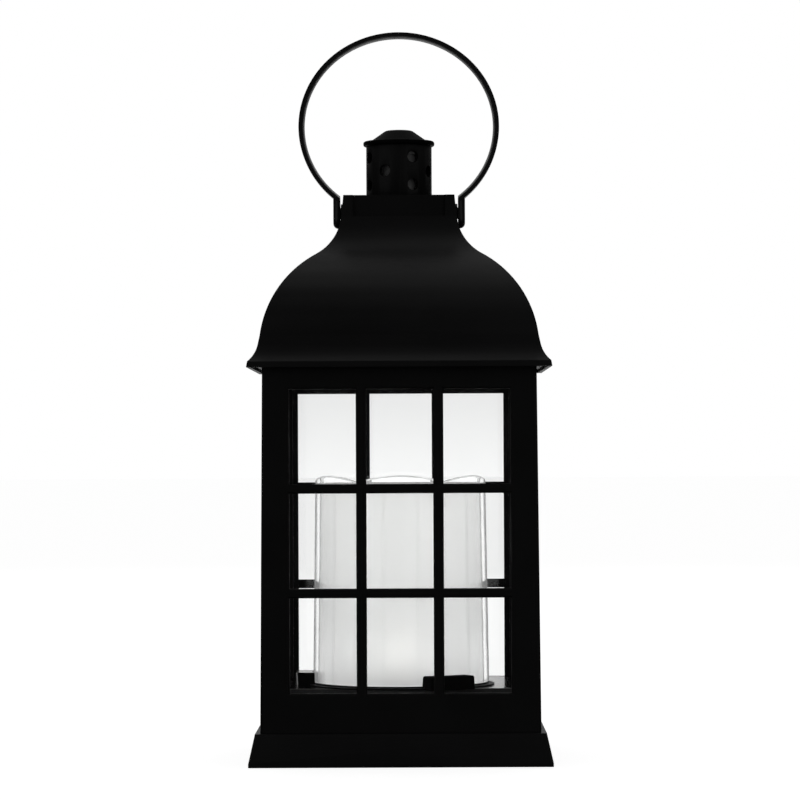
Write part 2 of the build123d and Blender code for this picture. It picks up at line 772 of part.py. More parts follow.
with BuildPart() as roof_shell:
    with BuildSketch(Plane.XZ):
        add(roof_outline.sketch_local)
    extrude(amount=eave_half, both=True)
    with BuildSketch(Plane.YZ):
        add(roof_outline.sketch_local)
    extrude(amount=eave_half, both=True, mode=Mode.INTERSECT)
    add(roof_hollow.part, mode=Mode.SUBTRACT)
    with BuildSketch(Plane.XY.offset(eave_z)):
        Rectangle(eave_width - 2 * eave_lip, eave_width - 2 * eave_lip)
        Rectangle(soffit_outer_width, soffit_outer_width, mode=Mode.SUBTRACT)
    extrude(amount=soffit_depth, mode=Mode.SUBTRACT)
    with BuildSketch(Plane.XY.offset(panel_top_z)):
        with PolarLocations(soffit_width / 2 - roof_rib_depth / 2, 4):
            with Locations((0, -roof_rib_spacing / 2), (0, roof_rib_spacing / 2)):
                Rectangle(roof_rib_depth, roof_rib_thickness)
    extrude(amount=roof_rib_height)
    recess_floor = neck_foot_width / 2 - neck_recess_depth
    for facing in (-1, 1):
        recess_origin = (0, facing * recess_floor, 0)
        with BuildSketch(Plane(origin=recess_origin, x_dir=(-facing, 0, 0), z_dir=(0, facing, 0))):
            with Locations((0, neck_foot_z)):
                Rectangle(neck_recess_width, neck_height, align=(Align.CENTER, Align.MIN))
        extrude(amount=2 * neck_recess_depth, mode=Mode.SUBTRACT)
    for side in (-1, 1):
        with BuildSketch(Plane.YZ.offset(side * neck_void_half)):
            with Locations((0, pivot_z)):
                Circle(bail_width / 2)
                Rectangle(bail_width, pivot_boss_skirt, align=(Align.CENTER, Align.MAX))
        extrude(amount=side * (boss_face_x - neck_void_half))
    with BuildSketch(Plane.YZ):
        with Locations((0, pivot_z)):
            Circle(stud_radius + running_gap)
    extrude(amount=2 * boss_face_x, both=True, mode=Mode.SUBTRACT)
    with BuildSketch(Plane.XY.offset(neck_top_z - roof_wall)):
        Circle(spigot_radius + seat_gap)
    extrude(amount=roof_wall, mode=Mode.SUBTRACT)

roof_shell.part.label = "roof_shell"
export_step(roof_shell.part, "parts/roof_shell.step")

# Chimney tube: a round tube on the neck, its spigot in the neck's top. Towards each side of the lantern
# it has a single vent hole on the left and a pair on the right.
bore_radius = chimney_radius - chimney_wall
vent_z = neck_top_z + chimney_height / 2

with BuildPart() as chimney_tube:
    with BuildSketch(Plane.XY.offset(neck_top_z)):
        Circle(chimney_radius)
    extrude(amount=chimney_height)
    with BuildSketch(Plane.XY.offset(neck_top_z - spigot_length)):
        Circle(spigot_radius)
    extrude(amount=spigot_length)
    with BuildSketch(Plane.XY.offset(neck_top_z - spigot_length)):
        Circle(bore_radius)
    extrude(amount=spigot_length + chimney_height, mode=Mode.SUBTRACT)
    for index in range(vent_faces):
        for turn, rises in ((-vent_spread, (0,)), (vent_spread, (-vent_rise, vent_rise))):
            bearing = radians(index * 360 / vent_faces + turn - 90)
            outward = Vector(cos(bearing), sin(bearing), 0)
            across = Vector(-sin(bearing), cos(bearing), 0)
            with BuildSketch(Plane(origin=(0, 0, vent_z), x_dir=across, z_dir=outward)):
                for rise in rises:
                    with Locations((0, rise)):
                        Circle(vent_diameter / 2)
            extrude(amount=2 * chimney_radius, mode=Mode.SUBTRACT)

chimney_tube.part.label = "chimney_tube"
export_step(chimney_tube.part, "parts/chimney_tube.step")

# Chimney cap: a rounded rim and a flat-topped dome with the stub of its moulding gate. A plug ring pushes
# into the tube, and below it a narrower baffle hangs behind the vent holes.
cap_radius = chimney_radius + cap_overhang
cap_dome_radius = cap_radius - cap_brim
cap_rim_z = chimney_top_z + cap_rim
crown_z = cap_rim_z + cap_dome_height
plug_radius = bore_radius - seat_gap
plug_end_z = chimney_top_z - cap_plug
baffle_radius = plug_radius - cap_baffle_inset
baffle_inner_radius = baffle_radius - cap_plug_wall
baffle_end_z = neck_top_z + cap_baffle_end_gap

with BuildPart() as chimney_cap:
    with BuildSketch(Plane.XZ):
        with BuildLine():
            Polyline(
                (cap_gate_radius, crown_z),
                (cap_gate_radius, crown_z + cap_gate_rise),
                (0, crown_z + cap_gate_rise),
                (0, chimney_top_z),
                (baffle_inner_radius, chimney_top_z),
                (baffle_inner_radius, baffle_end_z),
                (baffle_radius, baffle_end_z),
                (baffle_radius, plug_end_z),
                (plug_radius, plug_end_z),
                (plug_radius, chimney_top_z),
                (cap_radius, chimney_top_z),
                (cap_radius, cap_rim_z),
                (cap_dome_radius, cap_rim_z),
            )
            FilletPolyline(
                (cap_dome_radius, cap_rim_z),
                (cap_dome_radius - cap_crown_inset, crown_z),
                (cap_gate_radius, crown_z),
                radius=cap_crown_radius,
            )
        make_face()
    revolve(axis=Axis.Z)
    circles = chimney_cap.edges().filter_by(GeomType.CIRCLE)
    rim_edges = circles.filter_by(lambda edge: edge.radius > chimney_radius)
    fillet(rim_edges, radius=cap_rim_radius)

chimney_cap.part.label = "chimney_cap"
export_step(chimney_cap.part, "parts/chimney_cap.step")

# Bail: a strip bent to an oval, thickest along the middle of its inner side, with thicker tabs
# that carry headed studs through the sides of the neck.
bail_centre_z = neck_top_z + bail_centre_rise
knee_z = neck_top_z + bail_knee_rise
tab_end_z = knee_z - bail_tab_length + bail_width / 2
tab_inner_x = boss_face_x + moving_gap
tab_outer_x = tab_inner_x + bail_tab_thickness
knee_share = (bail_centre_z - knee_z) / bail_half_height
bail_half_span = tab_outer_x / sqrt(1 - knee_share**2)
head_face_x = neck_void_half - moving_gap

with BuildPart() as handle_bail:
    with BuildSketch(Plane.XZ):
        with Locations((0, bail_centre_z)):
            Ellipse(bail_half_span, bail_half_height)
        with Locations((0, knee_z)):
            below = (Align.CENTER, Align.MAX)
            above = (Align.CENTER, Align.MIN)
            Rectangle(2 * bail_half_span, 2 * bail_half_height, align=below, mode=Mode.SUBTRACT)
            Rectangle(2 * tab_inner_x, bail_strip + bail_swell, align=above, mode=Mode.SUBTRACT)
    extrude(amount=bail_width / 2, both=True)
    for facing in (-1, 1):
        for depth, inset in ((0, bail_strip + bail_swell), (bail_width / 2, bail_strip)):
            with BuildSketch(Plane.XZ.offset(facing * depth)):
                with Locations((0, bail_centre_z)):
                    Ellipse(bail_half_span - inset, bail_half_height - inset)
        loft(mode=Mode.SUBTRACT)
    for side in (-1, 1):
        with BuildSketch(Plane.YZ.offset(side * tab_inner_x)):
            with Locations((0, tab_end_z)):
                Circle(bail_width / 2)
                Rectangle(bail_width, knee_z - tab_end_z, align=(Align.CENTER, Align.MIN))
        extrude(amount=side * (tab_outer_x - tab_inner_x))
    tab_ends = handle_bail.edges().filter_by(GeomType.CIRCLE).filter_by(
        lambda edge: abs(edge.center().X) > (tab_inner_x + tab_outer_x) / 2
    )
    fillet(tab_ends, radius=bail_tab_edge)
    for side in (-1, 1):
        with BuildSketch(Plane.YZ.offset(side * tab_inner_x)):
            with Locations((0, pivot_z)):
                Circle(stud_radius)
        extrude(amount=-side * (tab_inner_x - head_face_x + stud_head_length))
        with BuildSketch(Plane.YZ.offset(side * head_face_x)):
            with Locations((0, pivot_z)):
                Circle(stud_head_radius)
        extrude(amount=-side * stud_head_length)

handle_bail.part.label = "handle_bail"
export_step(handle_bail.part, "parts/handle_bail.step")
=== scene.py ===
import math

import bmesh
import bpy
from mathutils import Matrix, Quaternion, Vector


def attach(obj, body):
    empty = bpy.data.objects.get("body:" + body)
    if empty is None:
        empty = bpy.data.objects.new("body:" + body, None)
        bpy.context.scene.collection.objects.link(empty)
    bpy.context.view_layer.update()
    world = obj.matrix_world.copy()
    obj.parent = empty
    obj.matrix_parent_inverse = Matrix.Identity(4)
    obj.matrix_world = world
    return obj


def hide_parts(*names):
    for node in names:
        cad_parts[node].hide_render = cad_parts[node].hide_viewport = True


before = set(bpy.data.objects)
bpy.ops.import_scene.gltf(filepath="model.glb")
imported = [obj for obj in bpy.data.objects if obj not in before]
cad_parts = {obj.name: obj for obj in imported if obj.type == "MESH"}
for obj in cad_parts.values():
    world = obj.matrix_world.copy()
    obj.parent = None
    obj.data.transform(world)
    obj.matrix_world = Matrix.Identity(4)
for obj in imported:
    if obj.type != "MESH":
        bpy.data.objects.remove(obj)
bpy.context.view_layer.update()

# Camera: a long lens at two fifths of the lantern's height, almost square to the front and tipped up
# by a degree, so that the eave and the sill are both seen almost edge on. It stands a quarter
# of a degree off level.
camera_data = bpy.data.cameras.new("camera")
camera_data.sensor_width = 36.0
camera_data.lens = 157.5
camera_place = Vector((0.0069, -1.506, 0.1279))
camera_target = Vector((0.0, 0.0, 0.1524))
camera_roll = Quaternion((0.0, 0.0, 1.0), math.radians(-0.26))
camera = bpy.data.objects.new("camera", camera_data)
camera.location = camera_place
camera_aim = (camera_target - camera_place).to_track_quat("-Z", "Y") @ camera_roll
camera.rotation_euler = camera_aim.to_euler()
bpy.context.scene.collection.objects.link(camera)
bpy.context.scene.camera = camera

# Plinth: the splayed base with its deck and candle clips, one injection moulding in black plastic.
# The tool leaves a fine spark-eroded grain on it, but the deck comes out polished and a little wavy,
# and dull by the front sill.


def put(tree, kind, inputs=None, **settings):
    """Adds a node to a tree, applies its settings, and sets or links its inputs."""
    node = tree.nodes.new(kind)
    for name, value in settings.items():
        setattr(node, name, value)
    for key, value in (inputs or {}).items():
        if isinstance(value, bpy.types.NodeSocket):
            tree.links.new(value, node.inputs[key])
        else:
            node.inputs[key].default_value = value
    return node


def new_group(name, kind, inputs, outputs):
    """Makes an empty node group with named sockets and returns it with its input and output nodes."""
    group = bpy.data.node_groups.new(name, kind)
    for label, socket_type, value in inputs:
        socket = group.interface.new_socket(label, in_out="INPUT", socket_type=socket_type)
        if value is not None:
            socket.default_value = value
    for label, socket_type in outputs:
        group.interface.new_socket(label, in_out="OUTPUT", socket_type=socket_type)
    return group, group.nodes.new("NodeGroupInput"), group.nodes.new("NodeGroupOutput")


def new_material(name, **constants):
    """Makes a material whose shader has the given constants, and returns it with its tree and shader."""
    material = bpy.data.materials.new(name)
    material.use_nodes = True
    tree = material.node_tree
    shader = tree.nodes["Principled BSDF"]
    for label, value in constants.items():
        shader.inputs[label.replace("_", " ")].default_value = value
    return material, tree, shader


def noise(tree, place, scale, detail):
    """Adds a noise over a place, with so many waves a metre, and returns its value."""
    inputs = {"Vector": place, "Scale": scale, "Detail": detail}
    return put(tree, "ShaderNodeTexNoise", inputs).outputs["Fac"]


def ramp(tree, value, start=0.0, end=1.0, low=0.0, high=1.0, **settings):
    """Maps a value from start and end to low and high, held at both ends."""
    inputs = {"Value": value, "From Min": start, "From Max": end, "To Min": low, "To Max": high}
    return put(tree, "ShaderNodeMapRange", inputs, **settings).outputs["Result"]


def mix_values(tree, share, first, second):
    """Goes from a first value to a second one by a share."""
    return put(tree, "ShaderNodeMix", {0: share, 2: first, 3: second}).outputs[0]


def mix_colours(tree, share, first, second):
    """Goes from a first colour to a second one by a share."""
    return put(tree, "ShaderNodeMix", {0: share, 6: first, 7: second}, data_type="RGBA").outputs[2]


moulded_grain, grain_in, grain_out = new_group(
    "Moulded grain",
    "ShaderNodeTree",
    [
        ("Vector", "NodeSocketVector", None),
        ("Grain per metre", "NodeSocketFloat", 1500.0),
        ("Mottle per metre", "NodeSocketFloat", 45.0),
        ("Dark", "NodeSocketColor", (0.003, 0.003, 0.0031, 1.0)),
        ("Pale", "NodeSocketColor", (0.005, 0.005, 0.0052, 1.0)),
        ("Smooth", "NodeSocketFloat", 0.42),
        ("Rough", "NodeSocketFloat", 0.58),
    ],
    [
        ("Color", "NodeSocketColor"),
        ("Roughness", "NodeSocketFloat"),
        ("Height", "NodeSocketFloat"),
    ],
)
grain_place = grain_in.outputs["Vector"]
grain = noise(moulded_grain, grain_place, scale=grain_in.outputs["Grain per metre"], detail=3.0)
mottle = noise(moulded_grain, grain_place, scale=grain_in.outputs["Mottle per metre"], detail=4.0)
mottle_mask = ramp(moulded_grain, mottle, start=0.35, end=0.65)
grain_tone = mix_colours(moulded_grain, mottle_mask, grain_in.outputs["Dark"], grain_in.outputs["Pale"])
grain_gloss = mix_values(moulded_grain, mottle, grain_in.outputs["Smooth"], grain_in.outputs["Rough"])
moulded_grain.links.new(grain_tone, grain_out.inputs["Color"])
moulded_grain.links.new(grain_gloss, grain_out.inputs["Roughness"])
moulded_grain.links.new(grain, grain_out.inputs["Height"])


def own_place(tree):
    """Returns the place of a point on its own piece, in metres."""
    return put(tree, "ShaderNodeTexCoord").outputs["Object"]


def grained(tree, place, dark, pale, smooth, rough, grain_per_metre=1500.0):
    """Puts the moulded grain into a material with its own tones, gloss and size."""
    inputs = {
        "Vector": place,
        "Grain per metre": grain_per_metre,
        "Dark": (*dark, 1.0),
        "Pale": (*pale, 1.0),
        "Smooth": smooth,
        "Rough": rough,
    }
    return put(tree, "ShaderNodeGroup", inputs, node_tree=moulded_grain).outputs


def raise_relief(tree, shader, height, depth, strength=0.35):
    """Gives a shader a relief that follows a height."""
    bump = put(tree, "ShaderNodeBump", {"Height": height, "Strength": strength, "Distance": depth})
    tree.links.new(bump.outputs["Normal"], shader.inputs["Normal"])


def moulded_plastic(name, grain_depth, specular, **finish):
    """A moulded plastic with a fine grain: its tone and gloss drift a little over the surface."""
    material, tree, shader = new_material(name, Specular_IOR_Level=specular)
    surface = grained(tree, own_place(tree), **finish)
    raise_relief(tree, shader, surface["Height"], grain_depth)
    tree.links.new(surface["Color"], shader.inputs["Base Color"])
    tree.links.new(surface["Roughness"], shader.inputs["Roughness"])
    return material


black_finish = {
    "dark": (0.0034, 0.0034, 0.0035),
    "pale": (0.0052, 0.0052, 0.0054),
    "smooth": 0.44,
    "rough": 0.58,
}
black_grain_depth = 0.00006
black_specular = 0.15
black_plastic = moulded_plastic("black_plastic", black_grain_depth, black_specular, **black_finish)


def ease_edges(piece, width, segments=2, angle=40.0):
    """Rounds the sharp edges of a piece."""
    ease = piece.modifiers.new("eased edges", "BEVEL")
    ease.width = width
    ease.segments = segments
    ease.limit_method = "ANGLE"
    ease.angle_limit = math.radians(angle)
    ease.harden_normals = True


def finish_node(name, material, edge=0.0, segments=2):
    """Gives a CAD node its material and, where it has an edge radius, eased edges."""
    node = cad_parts[name]
    node.data.materials.clear()
    node.data.materials.append(material)
    if edge:
        weld = node.modifiers.new("seam weld", "WELD")
        weld.merge_threshold = 1e-6
        flats = node.modifiers.new("whole flats", "DECIMATE")
        flats.decimate_type = "DISSOLVE"
        flats.angle_limit = math.radians(0.5)
        ease_edges(node, edge, segments)


def split(tree, vector):
    """Splits a vector and returns its X, Y and Z."""
    return put(tree, "ShaderNodeSeparateXYZ", {0: vector}).outputs


def maths(tree, operation, *values, **settings):
    """Works out a value from others."""
    inputs = dict(enumerate(values))
    return put(tree, "ShaderNodeMath", inputs, operation=operation, **settings).outputs["Value"]


plinth_plastic, plinth_tree, plinth_shader = new_material(
    "plinth_plastic", Specular_IOR_Level=black_specular
)
plinth_place = own_place(plinth_tree)
plinth_axes = split(plinth_tree, plinth_place)
plinth_grain = grained(plinth_tree, plinth_place, **black_finish)
deck_level = ramp(plinth_tree, plinth_axes["Z"], start=0.0296, end=0.0300)
deck_gloss = ramp(plinth_tree, plinth_axes["Y"], start=-0.031, end=-0.026, low=1.0, high=0.16)
deck_wave = noise(plinth_tree, plinth_place, scale=90.0, detail=1.0)
wave_over_grain = 9.0
deck_height = maths(plinth_tree, "MULTIPLY", deck_wave, wave_over_grain)
plinth_gloss = mix_values(plinth_tree, deck_level, plinth_grain["Roughness"], deck_gloss)
plinth_height = mix_values(plinth_tree, deck_level, plinth_grain["Height"], deck_height)
plinth_tree.links.new(plinth_grain["Color"], plinth_shader.inputs["Base Color"])
plinth_tree.links.new(plinth_gloss, plinth_shader.inputs["Roughness"])
raise_relief(plinth_tree, plinth_shader, plinth_height, black_grain_depth)
finish_node("plinth", plinth_plastic, edge=0.0003)

# Bottom cover: the plate inside the skirt, moulded in the same black plastic. It carries the battery box
# and the control board, and closes the base from below.
finish_node("bottom_cover", black_plastic, edge=0.0002)

# Cover screws: four countersunk self-tapping screws with a cross recess, in zinc-plated steel.
# They go up through the corners of the cover into the bosses of the plinth.
plated_streaks, streaks_in, streaks_out = new_group(
    "Plated streaks",
    "ShaderNodeTree",
    [
        ("Vector", "NodeSocketVector", None),
        ("Streaks per metre", "NodeSocketFloat", 900.0),
        ("Dark", "NodeSocketColor", (0.45, 0.45, 0.46, 1.0)),
        ("Pale", "NodeSocketColor", (0.62, 0.62, 0.63, 1.0)),
        ("Smooth", "NodeSocketFloat", 0.22),
        ("Rough", "NodeSocketFloat", 0.42),
    ],
    [("Color", "NodeSocketColor"), ("Roughness", "NodeSocketFloat")],
)
streak_stretch = (1.0, 0.12, 1.0)
drawn_out = put(
    plated_streaks,
    "ShaderNodeVectorMath",
    {0: streaks_in.outputs["Vector"], 1: streak_stretch},
    operation="MULTIPLY",
)
streaks = noise(
    plated_streaks,
    drawn_out.outputs["Vector"],
    scale=streaks_in.outputs["Streaks per metre"],
    detail=4.0,
)
streak_tone = mix_colours(
    plated_streaks,
    streaks,
    streaks_in.outputs["Dark"],
    streaks_in.outputs["Pale"],
)
streak_gloss = mix_values(
    plated_streaks,
    streaks,
    streaks_in.outputs["Smooth"],
    streaks_in.outputs["Rough"],
)
plated_streaks.links.new(streak_tone, streaks_out.inputs["Color"])
plated_streaks.links.new(streak_gloss, streaks_out.inputs["Roughness"])


def plated_metal(name, dark, pale):
    """A plated metal whose tone and gloss follow fine drawn-out streaks."""
    material, tree, shader = new_material(name, Metallic=1.0)
    place = own_place(tree)
    surface = put(
        tree,
        "ShaderNodeGroup",
        {"Vector": place, "Dark": (*dark, 1.0), "Pale": (*pale, 1.0)},
        node_tree=plated_streaks,
    )
    tree.links.new(surface.outputs["Color"], shader.inputs["Base Color"])
    tree.links.new(surface.outputs["Roughness"], shader.inputs["Roughness"])
    return material


screw_steel = plated_metal("screw_steel", dark=(0.46, 0.46, 0.47), pale=(0.64, 0.64, 0.65))

screw_tree, screw_in, screw_out = new_group(
    "Cover screws",
    "GeometryNodeTree",
    [
        ("Spacing", "NodeSocketFloat", 0.0904),
        ("Level", "NodeSocketVector", (0.0, 0.0, 0.0015)),
        ("Head radius", "NodeSocketFloat", 0.0029),
        ("Head height", "NodeSocketFloat", 0.0015),
        ("Shank radius", "NodeSocketFloat", 0.0014),
        ("Length", "NodeSocketFloat", 0.012),
        ("Tip radius", "NodeSocketFloat", 0.0006),
        ("Shank scale", "NodeSocketVector", (1.0, 1.0, 0.87)),
        ("Recess", "NodeSocketVector", (0.0029, 0.0008, 0.0014)),
        ("Turn each", "NodeSocketFloat", 0.9),
        ("Metal", "NodeSocketMaterial", None),
    ],
    [("Geometry", "NodeSocketGeometry")],
)
screw_head = put(
    screw_tree,
    "GeometryNodeMeshCone",
    {
        "Vertices": 40,
        "Radius Top": screw_in.outputs["Shank radius"],
        "Radius Bottom": screw_in.outputs["Head radius"],
        "Depth": screw_in.outputs["Head height"],
    },
)
recess_arm = put(screw_tree, "GeometryNodeMeshCube", {"Size": screw_in.outputs["Recess"]})
recess_cross = put(
    screw_tree,
    "GeometryNodeTransform",
    {"Geometry": recess_arm.outputs["Mesh"], "Rotation": (0.0, 0.0, math.pi / 2)},
)
cut_head = put(
    screw_tree,
    "GeometryNodeMeshBoolean",
    {"Mesh 1": screw_head.outputs["Mesh"], "Mesh 2": recess_arm.outputs["Mesh"]},
    operation="DIFFERENCE",
)
screw_tree.links.new(recess_cross.outputs["Geometry"], cut_head.inputs["Mesh 2"])
screw_shank = put(
    screw_tree,
    "GeometryNodeMeshCone",
    {
        "Vertices": 24,
        "Radius Top": screw_in.outputs["Tip radius"],
        "Radius Bottom": screw_in.outputs["Shank radius"],
        "Depth": screw_in.outputs["Length"],
    },
)
shank_rise = put(screw_tree, "ShaderNodeCombineXYZ", {"Z": screw_in.outputs["Head height"]})
shank_place = put(
    screw_tree,
    "GeometryNodeTransform",
    {
        "Geometry": screw_shank.outputs["Mesh"],
        "Translation": shank_rise.outputs["Vector"],
        "Scale": screw_in.outputs["Shank scale"],
    },
)
one_screw = put(screw_tree, "GeometryNodeJoinGeometry", {"Geometry": cut_head.outputs["Mesh"]})
screw_tree.links.new(shank_place.outputs["Geometry"], one_screw.inputs["Geometry"])
corners = put(
    screw_tree,
    "GeometryNodeMeshGrid",
    {
        "Size X": screw_in.outputs["Spacing"],
        "Size Y": screw_in.outputs["Spacing"],
        "Vertices X": 2,
        "Vertices Y": 2,
    },
)
corner_index = put(screw_tree, "GeometryNodeInputIndex")
corner_turn = maths(screw_tree, "MULTIPLY", corner_index.outputs["Index"], screw_in.outputs["Turn each"])
corner_rotation = put(screw_tree, "ShaderNodeCombineXYZ", {"Z": corner_turn})
screw_set = put(
    screw_tree,
    "GeometryNodeInstanceOnPoints",
    {
        "Points": corners.outputs["Mesh"],
        "Instance": one_screw.outputs["Geometry"],
        "Rotation": corner_rotation.outputs["Vector"],
    },
)
screw_level = put(
    screw_tree,
    "GeometryNodeTransform",
    {"Geometry": screw_set.outputs["Instances"], "Translation": screw_in.outputs["Level"]},
)


def put_out(tree, geometry, material, group_out):
    """Ends a geometry tree: makes its instances real, gives them their material and puts them out."""
    real = put(tree, "GeometryNodeRealizeInstances", {"Geometry": geometry})
    painted = put(
        tree,
        "GeometryNodeSetMaterial",
        {"Geometry": real.outputs["Geometry"], "Material": material},
    )
    tree.links.new(painted.outputs["Geometry"], group_out.inputs["Geometry"])


put_out(screw_tree, screw_level.outputs["Geometry"], screw_in.outputs["Metal"], screw_out)


def grow(name, group, body, slot, node=None, **sizes):
    """Turns a geometry tree into a plain mesh that rides on a body and may stand for a CAD node."""
    piece = bpy.data.objects.new(name, bpy.data.meshes.new(name))
    bpy.context.scene.collection.objects.link(piece)
    shape = piece.modifiers.new("shape", "NODES")
    shape.node_group = group
    for socket in group.interface.items_tree:
        key = socket.name.replace(" ", "_").lower()
        if key in sizes:
            shape[socket.identifier] = sizes[key]
    piece.update_tag()
    view = bpy.context.evaluated_depsgraph_get()
    mesh = bpy.data.meshes.new_from_object(piece.evaluated_get(view))
    piece.modifiers.clear()
    piece.data = mesh
    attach(piece, body)
    if node:
        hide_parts(node)
    return piece


screws = grow("screws", screw_tree, "lantern", "screw_steel", node="cover_screws", metal=screw_steel)
ease_edges(screws, width=0.00008)

# Battery box and contacts: a plain moulded well, welded to the cover, with nickel-plated contact plates
# at its ends.
inner_plastic = moulded_plastic(
    "inner_plastic",
    dark=(0.010, 0.010, 0.010),
    pale=(0.014, 0.014, 0.014),
    smooth=0.3,
    rough=0.45,
    grain_depth=0.00003,
    specular=0.4,
)
finish_node("battery_box", inner_plastic, edge=0.0003)
contact_metal = plated_metal("contact_metal", dark=(0.60, 0.59, 0.56), pale=(0.76, 0.75, 0.72))
finish_node("battery_contacts", contact_metal)

# Battery cells: three AA cells side by side, each turned end for end. A printless dark film is shrunk
# round the can and leaves the steel ends bare.
cell_wrap, cell_shader_tree, cell_shader = new_material("cell_wrap")
cell_place = own_place(cell_shader_tree)
cell_axes = split(cell_shader_tree, cell_place)
cell_reach = maths(cell_shader_tree, "ABSOLUTE", cell_axes["X"])
cell_end = ramp(cell_shader_tree, cell_reach, start=0.0239, end=0.0240)
cell_steel = put(
    cell_shader_tree,
    "ShaderNodeGroup",
    {"Vector": cell_place},
    node_tree=plated_streaks,
)
cell_film = grained(
    cell_shader_tree,
    cell_place,
    dark=(0.05, 0.052, 0.058),
    pale=(0.075, 0.078, 0.086),
    smooth=0.2,
    rough=0.32,
    grain_per_metre=400.0,
)
cell_colour = mix_colours(
    cell_shader_tree,
    cell_end,
    cell_film["Color"],
    cell_steel.outputs["Color"],
)
cell_gloss = mix_values(
    cell_shader_tree,
    cell_end,
    cell_film["Roughness"],
    cell_steel.outputs["Roughness"],
)
cell_shader_tree.links.new(cell_colour, cell_shader.inputs["Base Color"])
cell_shader_tree.links.new(cell_gloss, cell_shader.inputs["Roughness"])
cell_shader_tree.links.new(cell_end, cell_shader.inputs["Metallic"])

cell_tree, cell_in, cell_out = new_group(
    "Battery cells",
    "GeometryNodeTree",
    [
        ("Count", "NodeSocketInt", 3),
        ("Pitch", "NodeSocketVector", (0.0, 0.0147, 0.0)),
        ("First cell", "NodeSocketVector", (0.0, -0.0097, 0.0113)),
        ("Can radius", "NodeSocketFloat", 0.0071),
        ("Can length", "NodeSocketFloat", 0.0493),
        ("Nub radius", "NodeSocketFloat", 0.0026),
        ("Nub length", "NodeSocketFloat", 0.001),
        ("Film", "NodeSocketMaterial", None),
    ],
    [("Geometry", "NodeSocketGeometry")],
)
can = put(
    cell_tree,
    "GeometryNodeMeshCylinder",
    {
        "Vertices": 48,
        "Radius": cell_in.outputs["Can radius"],
        "Depth": cell_in.outputs["Can length"],
    },
)
half_nub = maths(cell_tree, "MULTIPLY", cell_in.outputs["Nub length"], -0.5)
can_rise = put(cell_tree, "ShaderNodeCombineXYZ", {"Z": half_nub})
can_place = put(
    cell_tree,
    "GeometryNodeTransform",
    {"Geometry": can.outputs["Mesh"], "Translation": can_rise.outputs["Vector"]},
)
nub = put(
    cell_tree,
    "GeometryNodeMeshCylinder",
    {
        "Vertices": 32,
        "Radius": cell_in.outputs["Nub radius"],
        "Depth": cell_in.outputs["Nub length"],
    },
)
half_can = maths(cell_tree, "MULTIPLY", cell_in.outputs["Can length"], 0.5)
nub_rise = put(cell_tree, "ShaderNodeCombineXYZ", {"Z": half_can})
nub_place = put(
    cell_tree,
    "GeometryNodeTransform",
    {"Geometry": nub.outputs["Mesh"], "Translation": nub_rise.outputs["Vector"]},
)
one_cell = put(cell_tree, "GeometryNodeJoinGeometry", {"Geometry": can_place.outputs["Geometry"]})
cell_tree.links.new(nub_place.outputs["Geometry"], one_cell.inputs["Geometry"])
cell_row = put(
    cell_tree,
    "GeometryNodeMeshLine",
    {
        "Count": cell_in.outputs["Count"],
        "Start Location": cell_in.outputs["First cell"],
        "Offset": cell_in.outputs["Pitch"],
    },
)
cell_index = put(cell_tree, "GeometryNodeInputIndex")
cell_flip = maths(cell_tree, "MULTIPLY_ADD", cell_index.outputs["Index"], math.pi, math.pi / 2)
cell_turn = put(cell_tree, "ShaderNodeCombineXYZ", {"Y": cell_flip})
cell_set = put(
    cell_tree,
    "GeometryNodeInstanceOnPoints",
    {
        "Points": cell_row.outputs["Mesh"],
        "Instance": one_cell.outputs["Geometry"],
        "Rotation": cell_turn.outputs["Vector"],
    },
)
put_out(cell_tree, cell_set.outputs["Instances"], cell_in.outputs["Film"], cell_out)

cells = grow("cells", cell_tree, "lantern", "cell_wrap", node="battery_cells", film=cell_wrap)
ease_edges(cells, width=0.0005, segments=3)

# Battery door: a flat plate moulded like the cover, which swings down on two stub pins. Five low ribs
# by its free end give a thumb some grip.
finish_node("battery_door", black_plastic, edge=0.0002)
rib_tree, rib_in, rib_out = new_group(
    "Door ribs",
    "GeometryNodeTree",
    [
        ("Count", "NodeSocketInt", 5),
        ("First rib", "NodeSocketVector", (0.0160, 0.005, 0.0015)),
        ("Pitch", "NodeSocketVector", (0.0018, 0.0, 0.0)),
        ("Rib", "NodeSocketVector", (0.0008, 0.016, 0.0008)),
        ("Plastic", "NodeSocketMaterial", None),
    ],
    [("Geometry", "NodeSocketGeometry")],
)
rib_row = put(
    rib_tree,
    "GeometryNodeMeshLine",
    {
        "Count": rib_in.outputs["Count"],
        "Start Location": rib_in.outputs["First rib"],
        "Offset": rib_in.outputs["Pitch"],
    },
)
one_rib = put(rib_tree, "GeometryNodeMeshCube", {"Size": rib_in.outputs["Rib"]})
rib_set = put(
    rib_tree,
    "GeometryNodeInstanceOnPoints",
    {"Points": rib_row.outputs["Mesh"], "Instance": one_rib.outputs["Mesh"]},
)
put_out(rib_tree, rib_set.outputs["Instances"], rib_in.outputs["Plastic"], rib_out)
door_ribs = grow("door_ribs", rib_tree, "battery_door", "black_plastic", plastic=black_plastic)
ease_edges(door_ribs, width=0.0003, segments=3)

